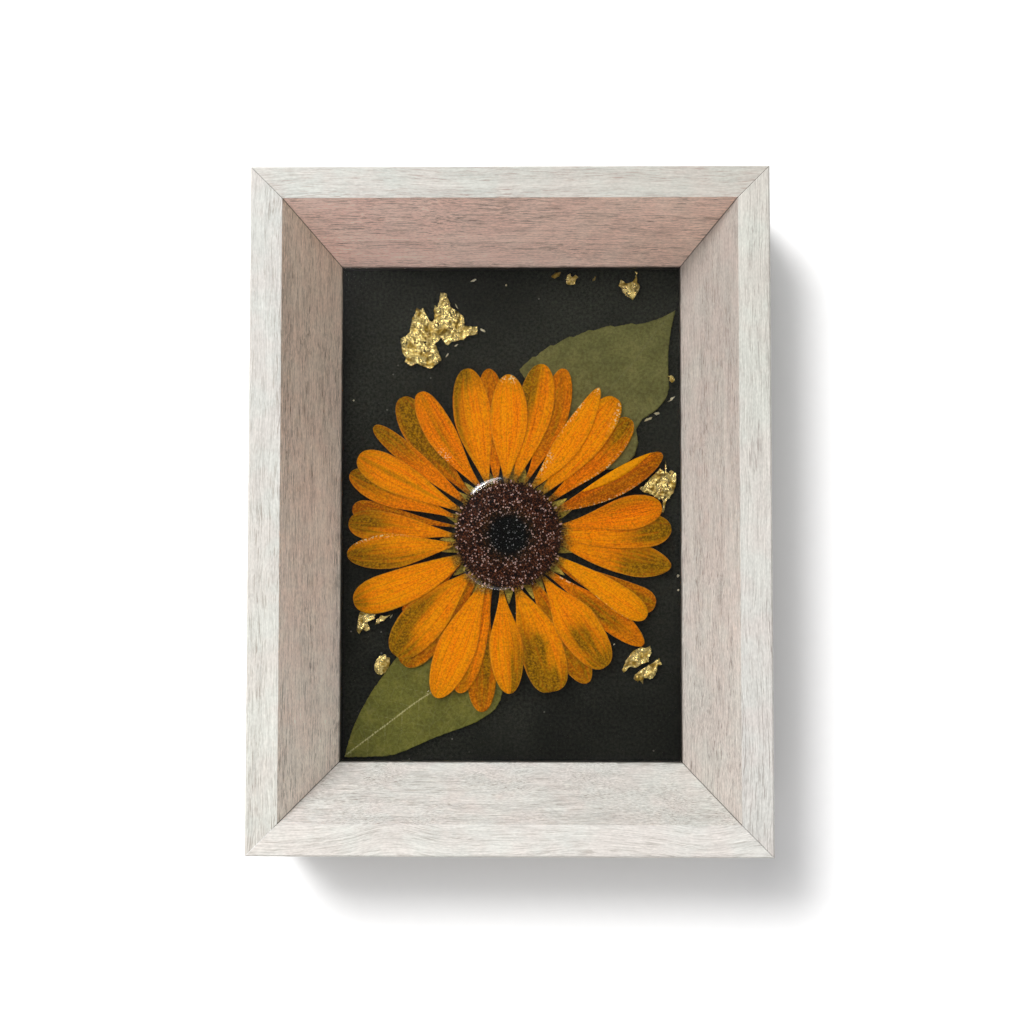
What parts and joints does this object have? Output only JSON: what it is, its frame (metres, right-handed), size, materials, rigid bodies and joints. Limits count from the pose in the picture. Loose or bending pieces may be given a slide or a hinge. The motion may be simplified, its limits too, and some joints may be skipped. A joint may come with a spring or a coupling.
{
  "type": "pressed flower frame",
  "caption": "Small deep wooden frame with a pressed orange daisy, two leaves and gold flakes set in clear resin on a black panel.",
  "frame": {"origin": "centre of the back, on the surface it lies on", "axes": "+X to the right and +Y to the top of the picture, +Z out of the front"},
  "size_m": [0.119, 0.157, 0.034],
  "materials": {
    "whitewashed_wood": "pale whitewash over fine grain, satin",
    "black_board": "matte black board",
    "clear_resin": "clear cast resin, polished",
    "pressed_petal": "dry orange petal, thin, olive where it has gone see-through",
    "pressed_leaf": "dry olive leaf, matte",
    "green_bract": "dry grey-green bract, matte",
    "dried_florets": "dark brown florets with pale tips, wet with resin",
    "gold_leaf": "crinkled gold leaf"
  },
  "bodies": {
    "root": {"rail_top": "whitewashed_wood", "rail_left": "whitewashed_wood", "rail_bottom": "whitewashed_wood", "rail_right": "whitewashed_wood", "backing_panel": "black_board", "petal_01": "pressed_petal", "petal_02": "pressed_petal", "petal_03": "pressed_petal", "petal_04": "pressed_petal", "petal_05": "pressed_petal", "petal_06": "pressed_petal", "petal_07": "pressed_petal", "petal_08": "pressed_petal", "petal_09": "pressed_petal", "petal_10": "pressed_petal", "petal_11": "pressed_petal", "petal_12": "pressed_petal", "petal_13": "pressed_petal", "petal_14": "pressed_petal", "petal_15": "pressed_petal", "petal_16": "pressed_petal", "petal_17": "pressed_petal", "petal_18": "pressed_petal", "petal_19": "pressed_petal", "petal_20": "pressed_petal", "petal_21": "pressed_petal", "petal_22": "pressed_petal", "petal_23": "pressed_petal", "petal_24": "pressed_petal", "petal_25": "pressed_petal", "petal_26": "pressed_petal", "petal_27": "pressed_petal", "petal_28": "pressed_petal", "petal_29": "pressed_petal", "petal_30": "pressed_petal", "petal_31": "pressed_petal", "petal_32": "pressed_petal", "petal_33": "pressed_petal", "petal_34": "pressed_petal", "seed_head": "dried_florets", "bracts": "green_bract", "leaf_upper": "pressed_leaf", "leaf_lower": "pressed_leaf", "gold_upper_left": "gold_leaf", "gold_top_1": "gold_leaf", "gold_top_2": "gold_leaf", "gold_top_3": "gold_leaf", "gold_heart": "gold_leaf", "gold_curl": "gold_leaf", "gold_sliver_1": "gold_leaf", "gold_sliver_2": "gold_leaf", "gold_sliver_3": "gold_leaf", "gold_right": "gold_leaf", "gold_lower_right_1": "gold_leaf", "gold_lower_right_2": "gold_leaf", "gold_lower_left_1": "gold_leaf", "gold_lower_left_2": "gold_leaf", "gold_oval": "gold_leaf", "resin_lower": "clear_resin", "resin_upper": "clear_resin"}
  },
  "joints": []
}
